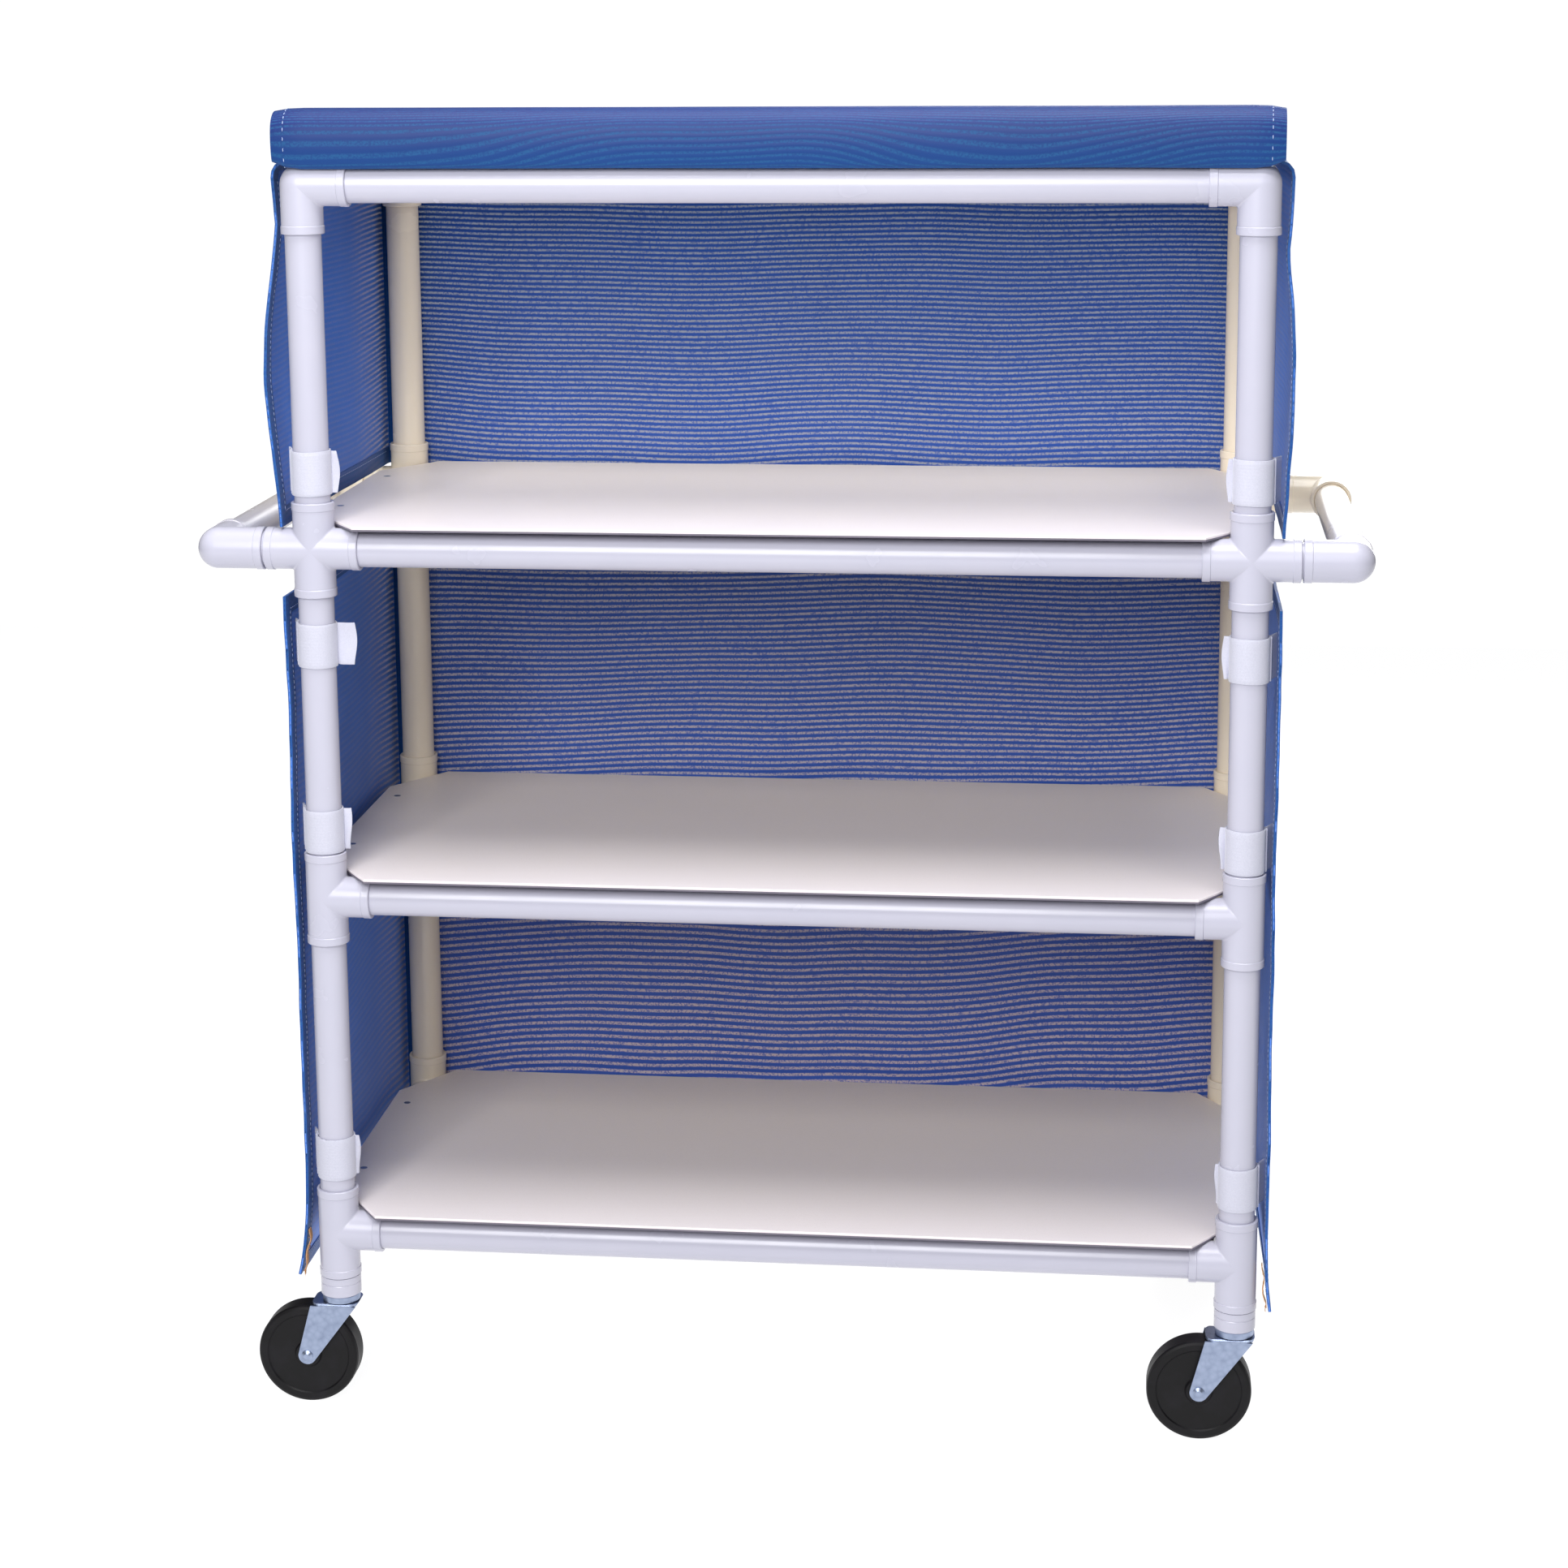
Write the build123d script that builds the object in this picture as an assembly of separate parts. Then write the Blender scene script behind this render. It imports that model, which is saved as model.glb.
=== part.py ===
from build123d import *
import math
import os

# Linen trolley: a frame of white PVC pipe and furniture fittings with three flat shelves,
# a push handle at each end, four swivel casters and a mesh cover whose front flap is rolled up.
# Millimetres. Origin on the floor under the middle of the frame, +Z up, the open front towards -Y.

# Frame
post_spacing_x = 1090.0  # left post axis to right post axis
post_spacing_y = 496.0  # front post axis to rear post axis
level_spacing = 424.0  # one shelf level to the next, and the upper shelf to the top rails
pipe_diameter = 42.2
pipe_wall = 3.6
socket_clearance = 0.1  # between a pipe and the socket it is cemented into
fitting_wall = 3.3
socket_shoulder = 2.9  # pipe end to the side of a pipe that meets it in a fitting
socket_depth = 32.0
lip_height = 0.8  # the band round the mouth of each socket
lip_width = 9.0
mouth_chamfer = 0.9
crotch_fillet = 2.5  # where the arms of a fitting run into each other
handle_seam = 2.5  # pipe showing between a handle cross and its elbow

# Shelves
board_thickness = 5.0
board_rest_gap = 0.3  # board above the lips of the fittings
board_front_overhang = 30.0
board_rear_overhang = 8.3
board_side_overhang = 22.0
board_corner_clearance = 1.7  # clipped corner to the lips of the corner fitting
board_corner_angle = 34.0  # degrees, direction of the clipped corner's normal from X
board_edge_chamfer = 0.8
screw_spacing = 240.0  # between the two screws of one side rail
screw_shank_diameter = 4.2
screw_head_diameter = 9.0
screw_head_depth = 2.4
screw_grip = 6.0  # screw reach below the top of the rail
screw_clearance = 0.1
cut_past = 1.0  # how far a cutting tool runs past the face it opens

# Cover
cover_thickness = 2.2
cover_back_gap = 2.5  # back panel to the lips of the fittings
cover_top_gap = 0.5  # top panel above the lips of the top elbows
cover_side_gap = 7.0  # side panels to the lips of the fittings
cover_front_reach = 12.0  # side panels in front of the front post axis
cover_hem_drop = 56.0  # cover's lower edge below the lowest rail axis
handle_slot_above = 1.7  # handle slot's upper edge above the lips of the handle crosses
handle_slot_below = 30.7
flap_roll_height = 62.0
flap_roll_depth = 62.0
flap_roll_overlap = 27.0  # roll past the post axis at each end
flap_roll_setback = 14.0  # roll axis behind the front rail axis
flap_roll_flat = 1.5  # how far the roll sinks flat where it lies on the top panel
strap_width = 52.0
strap_thickness = 2.2
strap_fit = 0.4
strap_tab_depth = 14.0
strap_tail_thickness = 3.0
strap_tail_setback = 8.0  # tail's plane behind the post axis
tape_width = 9.0
tape_length = 58.0
tape_thickness = 1.2

# Casters
wheel_diameter = 125.0
wheel_width = 32.0
wheel_shoulder = 4.0
wheel_groove_radius = 50.0
wheel_web_recess = 1.6
wheel_hub_radius = 17.0
wheel_hub_taper = 2.0
wheel_side_gap = 2.0  # wheel's side to the leg beside it
fork_plate = 3.5
fork_leg = 3.0
fork_clearance = 3.0  # wheel to the underside of the fork's crown
fork_crown_front = 24.0  # crown ahead of the swivel axis
fork_crown_rear = 34.0
fork_crown_corner = 12.0
fork_bend = 3.0
fork_foot_radius = 11.0  # rounded end of each leg about the wheel axis
trail = 41.0  # wheel axis behind the swivel axis
axle_diameter = 9.5
axle_head_diameter = 14.0
axle_head_height = 3.0
nut_across_flats = 15.0
nut_height = 7.0
bolt_proud = 2.0  # bolt past its nut
bushing_wall = 2.5
running_clearance = 0.05
hub_side_clearance = 0.4
ball_diameter = 6.0
ball_count = 12
ball_pitch_radius = 15.0
ball_clearance = 0.3
race_thickness = 2.5
race_radius = 23.0
race_skirt = 2.0
race_skirt_gap = 1.0
kingpin_diameter = 12.0
kingpin_head_diameter = 19.0
kingpin_head_height = 3.5
stem_diameter = 12.7
stem_length = 38.0
stem_end_gap = 2.0
steel_edge = 0.8  # broken edges of the races and the kingpin
collar_height = 24.0
collar_seam = 0.6
collar_groove = 0.5

# What follows from them
pipe_radius = pipe_diameter / 2
socket_radius = pipe_radius + socket_clearance
passage_radius = pipe_radius - pipe_wall
fitting_radius = socket_radius + fitting_wall
lip_radius = fitting_radius + lip_height
stop = pipe_radius + socket_shoulder  # fitting centre to the shoulder that a pipe seats on
arm_length = stop + socket_depth  # fitting centre to the end of an arm
half_x = post_spacing_x / 2
half_y = post_spacing_y / 2

axle_height = wheel_diameter / 2
fork_inner_width = wheel_width + 2 * wheel_side_gap
crown_bottom = wheel_diameter + fork_clearance
crown_top = crown_bottom + fork_plate
race_bottom = crown_top + ball_diameter + 2 * ball_clearance
collar_bottom = race_bottom + race_thickness
lower_z = collar_bottom + collar_height + collar_seam + arm_length
levels = {name: lower_z + i * level_spacing for i, name in enumerate(("lower", "middle", "upper", "top"))}

elbow_offset = 2 * arm_length + handle_seam  # post axis to handle axis
board_bottom = lip_radius + board_rest_gap  # above a level's rail axes
board_top = board_bottom + board_thickness
cover_side_x = half_x + lip_radius + cover_side_gap  # inner face of the side panels
cover_back_y = half_y + lip_radius + cover_back_gap  # inner face of the back panel
cover_top_z = levels["top"] + lip_radius + cover_top_gap  # underside of the top panel
cover_bottom_z = levels["lower"] - cover_hem_drop

X = Vector(1, 0, 0)
Y = Vector(0, 1, 0)
Z = Vector(0, 0, 1)
sides = {"left": -1, "right": 1}
rows = {"front": -1, "rear": 1}


def corners():
    """Name, sign along X and sign along Y of each post."""
    return [(f"{row}_{side}", sx, sy) for row, sy in rows.items() for side, sx in sides.items()]


def quarter_turn(sx, sy):
    """Turn about Z that takes a fitting made for the front right corner to another corner."""
    return Rot(0, 0, {(1, -1): 0, (1, 1): 90, (-1, 1): 180, (-1, -1): 270}[sx, sy])


def turned(points, centre=Vector(0, 0, 0), axis=Z):
    """Solid turned about an axis from (radius, distance along the axis) points."""
    profile = Plane.XZ * Polygon(*points, align=None)
    return Plane(origin=centre, z_dir=axis) * revolve(profile, Axis.Z)


def block(x, y, z):
    """Box between two values along each axis, given in either order."""
    low = Vector(min(x), min(y), min(z))
    high = Vector(max(x), max(y), max(z))
    size = high - low
    return Pos(*((low + high) / 2)) * Box(*size)


def tube(start, end):
    """Pipe between two points."""
    length = (end - start).length
    ring = [(passage_radius, 0), (pipe_radius, 0), (pipe_radius, length), (passage_radius, length)]
    return turned(ring, start, (end - start).normalized())


def fitting(directions, rounded=False):
    """Pipe fitting with a socket along each direction, and a round back where it is an elbow."""
    neck = arm_length - lip_width
    rim = arm_length - lip_height
    arm = [
        (0, 0),
        (fitting_radius, 0),
        (fitting_radius, neck - lip_height),
        (lip_radius, neck),
        (lip_radius, rim),
        (fitting_radius, arm_length),
        (0, arm_length),
    ]
    mouth = arm_length + mouth_chamfer
    bore = [
        (0, 0),
        (passage_radius, 0),
        (passage_radius, stop),
        (socket_radius, stop),
        (socket_radius, arm_length - mouth_chamfer),
        (socket_radius + 2 * mouth_chamfer, mouth),
        (0, mouth),
    ]
    body = turned(arm, axis=directions[0])
    hollow = turned(bore, axis=directions[0])
    for direction in directions[1:]:
        body += turned(arm, axis=direction)
        hollow += turned(bore, axis=direction)
    if rounded:
        body += Sphere(fitting_radius)
        hollow += Sphere(passage_radius)
    crotches = body.edges().filter_by(GeomType.ELLIPSE)
    return fillet(crotches, crotch_fillet) - hollow


def save(node, *solids):
    """Write one node, whose pieces stay separate solids."""
    pieces = [solid for shape in solids for solid in shape.solids()]
    shape = pieces[0] if len(pieces) == 1 else Compound(children=pieces)
    shape.label = node
    export_step(shape, f"parts/{node}.step")


def screw_places(level):
    """Points on a level's side rail axes under each of its screws."""
    z = levels[level]
    return [Vector(sx * half_x, sy * screw_spacing / 2, z) for sx in (-1, 1) for sy in (-1, 1)]


def screw(point, clearance=0.0):
    """Countersunk screw down through a board into the rail, or with a clearance its hole."""
    shank = screw_shank_diameter / 2 + clearance
    head = screw_head_diameter / 2 + clearance
    tip = pipe_radius - screw_grip - clearance
    seat = board_top - screw_head_depth
    crown = board_top + (cut_past if clearance else 0.0)
    profile = [(0, tip), (shank, tip), (shank, seat), (head, board_top), (head, crown), (0, crown)]
    return turned(profile if clearance else profile[:4] + [(0, board_top)], point)


def build_frame():
    drop = -1 * Z
    tee = fitting([Z, drop, -1 * X, Y])
    cross = fitting([Z, drop, X, -1 * X, Y])
    corner = fitting([drop, -1 * X, Y], rounded=True)
    for name, sx, sy in corners():
        post = Vector(sx * half_x, sy * half_y, 0)
        turn = quarter_turn(sx, sy)
        heights = [post + z * Z for z in levels.values()]
        save(f"post_{name}", *[tube(a + stop * Z, b - stop * Z) for a, b in zip(heights, heights[1:])])
        bottom, middle, upper, top = [Pos(*centre) for centre in heights]
        save(f"bottom_tee_{name}", bottom * turn * tee)
        save(f"middle_tee_{name}", middle * turn * tee)
        save(f"handle_cross_{name}", upper * quarter_turn(-sy, sy) * cross)
        save(f"top_corner_{name}", top * turn * corner)

    for level, z in levels.items():
        reach_x = half_x - stop
        reach_y = half_y - stop
        long_rails = [tube(Vector(-reach_x, y, z), Vector(reach_x, y, z)) for y in (-half_y, half_y)]
        side_rails = [tube(Vector(x, -reach_y, z), Vector(x, reach_y, z)) for x in (-half_x, half_x)]
        if level != "top":
            for place in screw_places(level):
                side_rails = [rail - screw(place, screw_clearance) for rail in side_rails]
        save(f"long_rails_{level}", *long_rails)
        save(f"side_rails_{level}", *side_rails)


def build_handles():
    z = levels["upper"]
    elbow = fitting([-1 * X, Y], rounded=True)
    for side, sx in sides.items():
        grip_x = sx * (half_x + elbow_offset)
        elbows = []
        pipes = [tube(Vector(grip_x, stop - half_y, z), Vector(grip_x, half_y - stop, z))]
        for sy in rows.values():
            centre = Vector(grip_x, sy * half_y, z)
            cross = Vector(sx * half_x, sy * half_y, z)
            elbows.append(Pos(*centre) * quarter_turn(sx, sy) * elbow)
            pipes.append(tube(cross + sx * stop * X, centre - sx * stop * X))
        save(f"handle_elbows_{side}", *elbows)
        save(f"handle_bar_{side}", *pipes)


def board_outline():
    """Corner points of a shelf board, clipped past the corner fittings."""
    clip = lip_radius + board_corner_clearance
    across = math.cos(math.radians(board_corner_angle))
    along = math.sin(math.radians(board_corner_angle))
    points = []
    for sx, sy in ((-1, -1), (1, -1), (1, 1), (-1, 1)):
        overhang = board_front_overhang if sy < 0 else board_rear_overhang
        on_side = (half_x + board_side_overhang, half_y - (clip + board_side_overhang * across) / along)
        on_end = (half_x - (clip + overhang * along) / across, half_y + overhang)
        pair = [on_side, on_end] if sx == sy else [on_end, on_side]
        points += [(sx * x, sy * y) for x, y in pair]
    return points


def build_shelves():
    screws = []
    outline = Polygon(*board_outline(), align=None)
    for level in ("lower", "middle", "upper"):
        board = Pos(0, 0, levels[level] + board_bottom) * extrude(outline, board_thickness)
        board = chamfer(board.faces().sort_by(Axis.Z)[-1].edges(), board_edge_chamfer)
        for place in screw_places(level):
            board -= screw(place, screw_clearance)
            screws.append(screw(place))
        save(f"shelf_{level}", board)
    save("shelf_screws", *screws)


def build_cover():
    side_outer = cover_side_x + cover_thickness
    back_outer = cover_back_y + cover_thickness
    front = -half_y - cover_front_reach
    top_outer = cover_top_z + cover_thickness
    across = (-side_outer, side_outer)
    save("cover_back", block(across, (cover_back_y, back_outer), (cover_bottom_z, cover_top_z)))
    save("cover_top", block(across, (front, back_outer), (cover_top_z, top_outer)))
    slot_top = levels["upper"] + lip_radius + handle_slot_above
    slot_bottom = levels["upper"] - lip_radius - handle_slot_below
    for side, sx in sides.items():
        span_x = (sx * cover_side_x, sx * side_outer)
        span_y = (front, cover_back_y)
        save(f"cover_side_{side}_upper", block(span_x, span_y, (slot_top, cover_top_z)))
        save(f"cover_side_{side}_lower", block(span_x, span_y, (cover_bottom_z, slot_bottom)))

    half_roll = half_x + flap_roll_overlap
    roll_y = -half_y + flap_roll_setback
    roll_z = top_outer + flap_roll_height / 2 - flap_roll_flat
    section = Plane.YZ * Ellipse(flap_roll_depth / 2, flap_roll_height / 2)
    roll = Pos(0, roll_y, roll_z) * extrude(section, half_roll, both=True)
    beyond = half_roll + cut_past
    roll -= block((-beyond, beyond), (front - flap_roll_depth, half_y), (0, top_outer))
    save("front_flap_roll", roll)

    tapes = []
    for sx in sides.values():
        inner = sx * cover_side_x
        tape_y = (front, front + tape_width)
        tape_z = (cover_bottom_z, cover_bottom_z + tape_length)
        tapes.append(block((inner, inner - sx * tape_thickness), tape_y, tape_z))
    save("closure_tapes", *tapes)


# Level of the fitting beside each strap, 1 above it or -1 below it, the pipe left bare between
# them, and how far the strap's tail stands out from the wrap on each side.
strap_places = (
    ("upper", 1, 9.0, {"left": 8.3, "right": 6.3}),
    ("upper", -1, 32.0, {"left": 22.3, "right": 7.3}),
    ("middle", 1, 2.0, {"left": 9.3, "right": 6.3}),
    ("lower", 1, 15.0, {"left": 5.3, "right": 3.3}),
)


def strap(side, level, way, bare, tail):
    """Hook-and-loop strap round a front post, sewn to the side panel and closed with a short tail."""
    sx = sides[side]
    rise = way * (arm_length + bare + strap_width / 2)
    centre = Vector(sx * half_x, -half_y, levels[level] + rise)
    inner = pipe_radius + strap_fit
    outer = inner + strap_thickness
    half = strap_width / 2
    body = turned([(inner, -half), (outer, -half), (outer, half), (inner, half)], centre)
    height = (centre.Z - half, centre.Z + half)
    tab_x = (centre.X + sx * (inner + strap_thickness / 2), sx * cover_side_x)
    tail_x = (centre.X - sx * (inner + strap_thickness / 2), centre.X - sx * (outer + tail))
    tail_y = centre.Y + strap_tail_setback
    body += block(tab_x, (centre.Y - strap_tab_depth / 2, centre.Y + strap_tab_depth / 2), height)
    body += block(tail_x, (tail_y - strap_tail_thickness, tail_y), height)
    past = half + cut_past
    return body - turned([(0, -past), (inner, -past), (inner, past), (0, past)], centre)


def build_straps():
    straps = [
        strap(side, level, way, bare, tails[side])
        for level, way, bare, tails in strap_places
        for side in sides
    ]
    save("cover_straps", *straps)


def caster_socket(post):
    """Plug cemented into the lowest tee, with a collar below it and a bore for the caster stem."""
    top = levels["lower"] - stop
    shoulder = collar_bottom + collar_height
    bore_top = collar_bottom + stem_length + stem_end_gap
    bore = stem_diameter / 2 + running_clearance
    groove_z = shoulder - lip_width
    profile = [
        (bore, collar_bottom),
        (fitting_radius - mouth_chamfer, collar_bottom),
        (fitting_radius, collar_bottom + mouth_chamfer),
        (fitting_radius, groove_z - 2 * collar_groove),
        (fitting_radius - collar_groove, groove_z),
        (fitting_radius, groove_z + 2 * collar_groove),
        (fitting_radius, shoulder),
        (pipe_radius, shoulder),
        (pipe_radius, top),
        (0, top),
        (0, bore_top),
        (bore, bore_top),
    ]
    return turned(profile, post)


def caster_stem(post):
    """Threaded stem, upper race and kingpin in one turned piece."""
    stem = stem_diameter / 2
    pin = kingpin_diameter / 2
    head = kingpin_head_diameter / 2
    skirt_inner = race_radius - race_skirt
    skirt_end = crown_top + race_skirt_gap
    head_top = crown_bottom - ball_clearance
    profile = [
        (0, head_top - kingpin_head_height),
        (head - steel_edge, head_top - kingpin_head_height),
        (head, head_top - kingpin_head_height + steel_edge),
        (head, head_top),
        (pin, head_top),
        (pin, race_bottom),
        (skirt_inner, race_bottom),
        (skirt_inner, skirt_end),
        (race_radius, skirt_end),
        (race_radius, collar_bottom - steel_edge),
        (race_radius - steel_edge, collar_bottom),
        (stem, collar_bottom),
        (stem, collar_bottom + stem_length),
        (0, collar_bottom + stem_length),
    ]
    return turned(profile, post)


def bearing_balls(post):
    """Ring of balls between the fork's crown and the upper race."""
    centre = post + (crown_top + ball_clearance + ball_diameter / 2) * Z
    places = PolarLocations(ball_pitch_radius, ball_count)
    return [Pos(*centre) * place * Sphere(ball_diameter / 2) for place in places]


def fork(post):
    """Bent steel fork: a flat crown with a tapering leg each side of the wheel."""
    half_width = fork_inner_width / 2 + fork_leg
    reach = trail + wheel_diameter
    foot = Pos(-trail, axle_height) * Circle(fork_foot_radius)
    crown_line = Polyline((-fork_crown_rear, crown_top), (fork_crown_front, crown_top))
    profile = Plane.XZ * make_hull(foot.edges() + crown_line.edges())
    bent = extrude(profile, half_width, both=True)
    bent = fillet(bent.faces().sort_by(Axis.Z)[-1].edges().filter_by(Axis.X), fork_bend)
    middle = (fork_crown_front - fork_crown_rear) / 2
    plate = RectangleRounded(fork_crown_front + fork_crown_rear, 2 * half_width, fork_crown_corner)
    crown = bent & extrude(Pos(middle, 0, crown_bottom) * plate, fork_plate)
    legs = bent - block((-reach, reach), (-half_width, half_width), (crown_bottom, crown_top))
    legs -= block((-reach, reach), (-fork_inner_width / 2, fork_inner_width / 2), (0, crown_bottom))
    body = crown + legs
    body -= Pos(0, 0, crown_top) * Cylinder(kingpin_diameter / 2 + running_clearance, 3 * fork_plate)
    axle_hole = Cylinder(axle_diameter / 2 + running_clearance, 2 * half_width + cut_past)
    body -= Pos(-trail, 0, axle_height) * Rot(90, 0, 0) * axle_hole
    return Pos(*post) * body


def axle(post):
    """Axle bolt with its nut, and the bushing that the wheel turns on."""
    centre = post + Vector(-trail, 0, axle_height)
    shank = axle_diameter / 2
    head = axle_head_diameter / 2
    leg_face = fork_inner_width / 2 + fork_leg
    nut_end = leg_face + nut_height
    bolt = [
        (0, -leg_face - axle_head_height),
        (head / 2, -leg_face - axle_head_height),
        (head, -leg_face - axle_head_height / 3),
        (head, -leg_face),
        (shank, -leg_face),
        (shank, nut_end + bolt_proud),
        (0, nut_end + bolt_proud),
    ]
    inner = shank + running_clearance
    hexagon = RegularPolygon(nut_across_flats / 2, 6, major_radius=False) - Circle(inner)
    nut = Plane(origin=centre + leg_face * Y, z_dir=Y) * extrude(hexagon, nut_height)
    outer = shank + bushing_wall
    half = fork_inner_width / 2
    bushing = turned([(inner, -half), (outer, -half), (outer, half), (inner, half)], centre, Y)
    return [turned(bolt, centre, Y), nut, bushing]


def wheel(post):
    """Solid rubber wheel with a shallow web between its rim and its hub."""
    centre = post + Vector(-trail, 0, axle_height)
    radius = wheel_diameter / 2
    bore = axle_diameter / 2 + bushing_wall + running_clearance
    half = wheel_width / 2
    hub_half = fork_inner_width / 2 - hub_side_clearance
    web = half - wheel_web_recess
    corner = 0.3 * wheel_shoulder
    edge = [
        (bore, hub_half),
        (wheel_hub_radius - wheel_hub_taper, hub_half),
        (wheel_hub_radius, web),
        (wheel_groove_radius, web),
        (wheel_groove_radius + wheel_web_recess, half),
        (radius - wheel_shoulder, half),
        (radius - corner, half - corner),
        (radius, half - wheel_shoulder),
    ]
    return turned(edge + [(r, -s) for r, s in reversed(edge)], centre, Y)


def build_casters():
    posts = {name: Vector(sx * half_x, sy * half_y, 0) for name, sx, sy in corners()}
    save("caster_sockets", *[caster_socket(post) for post in posts.values()])
    save("caster_stems", *[caster_stem(post) for post in posts.values()])
    save("bearing_balls", *[ball for post in posts.values() for ball in bearing_balls(post)])
    for name, post in posts.items():
        save(f"fork_{name}", fork(post))
        save(f"axle_{name}", *axle(post))
        save(f"wheel_{name}", wheel(post))


os.makedirs("parts", exist_ok=True)
build_frame()
build_handles()
build_shelves()
build_cover()
build_straps()
build_casters()
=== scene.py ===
import math
import bpy
from mathutils import Matrix, Vector, noise


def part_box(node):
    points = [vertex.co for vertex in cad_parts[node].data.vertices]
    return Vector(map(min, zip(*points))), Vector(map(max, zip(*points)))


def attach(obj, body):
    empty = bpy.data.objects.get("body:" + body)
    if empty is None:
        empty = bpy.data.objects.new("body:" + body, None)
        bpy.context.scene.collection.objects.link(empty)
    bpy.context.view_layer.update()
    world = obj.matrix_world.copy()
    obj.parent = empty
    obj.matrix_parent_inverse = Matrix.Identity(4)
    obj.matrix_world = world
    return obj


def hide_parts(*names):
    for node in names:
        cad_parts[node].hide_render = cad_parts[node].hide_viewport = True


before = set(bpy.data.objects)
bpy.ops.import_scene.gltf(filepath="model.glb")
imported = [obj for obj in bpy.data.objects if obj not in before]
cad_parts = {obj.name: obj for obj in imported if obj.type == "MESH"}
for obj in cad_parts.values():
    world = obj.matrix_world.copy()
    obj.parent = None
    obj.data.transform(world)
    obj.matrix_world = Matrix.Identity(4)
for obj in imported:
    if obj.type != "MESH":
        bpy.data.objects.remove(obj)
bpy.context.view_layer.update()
print("frame loaded:", len(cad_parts), "nodes")

mm = 0.001


# small helpers, used by every piece

def linear(hexColour):
    channels = [int(hexColour[i:i + 2], 16) / 255 for i in (1, 3, 5)]
    return tuple(c / 12.92 if c <= 0.04045 else ((c + 0.055) / 1.055) ** 2.4 for c in channels) + (1.0,)


def addNode(tree, kind, inputs=None, output=0, **settings):
    # inputs are fixed values or the sockets to link from; gives back the output socket asked for
    node = tree.nodes.new(kind)
    for name, value in settings.items():
        setattr(node, name, value)
    for name, value in (inputs or {}).items():
        if isinstance(value, bpy.types.NodeSocket):
            tree.links.new(value, node.inputs[name])
        else:
            node.inputs[name].default_value = value
    return node.outputs[output] if node.outputs else node


# a Mix node of colours: inputs 0, 6 and 7 are its factor and two colours, output 2 the mixed one
colourMix = {"output": 2, "data_type": "RGBA"}


def newMaterial(name, **shader):
    # gives the material, its node tree, its shader and the object's own coordinates in metres
    material = bpy.data.materials.new(name)
    material.use_nodes = True
    tree = material.node_tree
    tree.nodes.clear()
    surface = tree.nodes.new("ShaderNodeBsdfPrincipled")
    for socket, value in shader.items():
        surface.inputs[socket].default_value = value
    addNode(tree, "ShaderNodeOutputMaterial", {"Surface": surface.outputs[0]})
    coords = tree.nodes.new("ShaderNodeTexCoord").outputs["Object"]
    return material, tree, surface, coords


def deselectAll():
    if bpy.context.mode != "OBJECT":
        bpy.ops.object.mode_set(mode="OBJECT")
    bpy.ops.object.select_all(action="DESELECT")


def activate(piece):
    deselectAll()
    piece.select_set(True)
    bpy.context.view_layer.objects.active = piece


def placeInMesh(piece):
    activate(piece)
    bpy.ops.object.transform_apply(location=True, rotation=True, scale=True)


def pick(piece, part, test):
    # part is vertices, edges or polygons; test gets the place and the item
    mesh = piece.data
    kinds = ("vertices", "edges", "polygons")
    activate(piece)
    bpy.context.tool_settings.mesh_select_mode = tuple(part == kind for kind in kinds)
    for kind in kinds:
        items = getattr(mesh, kind)
        items.foreach_set("select", [False] * len(items))
    for item in getattr(mesh, part):
        if part == "vertices":
            place = item.co
        elif part == "polygons":
            place = item.center
        else:
            place = (mesh.vertices[item.vertices[0]].co + mesh.vertices[item.vertices[1]].co) / 2
        item.select = test(place, item)
    bpy.ops.object.mode_set(mode="EDIT")


def dropFaces(piece, test):
    pick(piece, "polygons", test)
    bpy.ops.mesh.delete(type="FACE")
    bpy.ops.object.mode_set(mode="OBJECT")


def copyOf(piece, name):
    twin = piece.copy()
    twin.data = piece.data.copy()
    twin.name = name
    bpy.context.collection.objects.link(twin)
    return twin


def applied(piece, kind, **settings):
    activate(piece)
    modifier = piece.modifiers.new(kind.lower(), kind)
    for name, value in settings.items():
        setattr(modifier, name, value)
    bpy.ops.object.modifier_apply(modifier=modifier.name)


def smoothed(piece, degrees=40):
    activate(piece)
    bpy.ops.object.shade_smooth_by_angle(angle=math.radians(degrees))


def joined(pieces, name):
    deselectAll()
    for piece in pieces:
        piece.select_set(True)
    bpy.context.view_layer.objects.active = pieces[0]
    bpy.ops.object.join()
    pieces[0].name = name
    return pieces[0]


def copiesAt(template, places, name):
    # one mesh of the template repeated at each place, a 4x4 matrix
    shape = template.data
    corners, faces = [], []
    for place in places:
        start = len(corners)
        corners += [place @ vertex.co for vertex in shape.vertices]
        faces += [[start + index for index in face.vertices] for face in shape.polygons]
    mesh = bpy.data.meshes.new(name)
    mesh.from_pydata(corners, [], faces)
    piece = bpy.data.objects.new(name, mesh)
    bpy.context.collection.objects.link(piece)
    for face in mesh.polygons:
        face.use_smooth = True
    return piece


def dress(piece, material, body="frame"):
    piece.data.materials.clear()
    piece.data.materials.append(material)
    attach(piece, body)


# camera, floor and light

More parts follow.
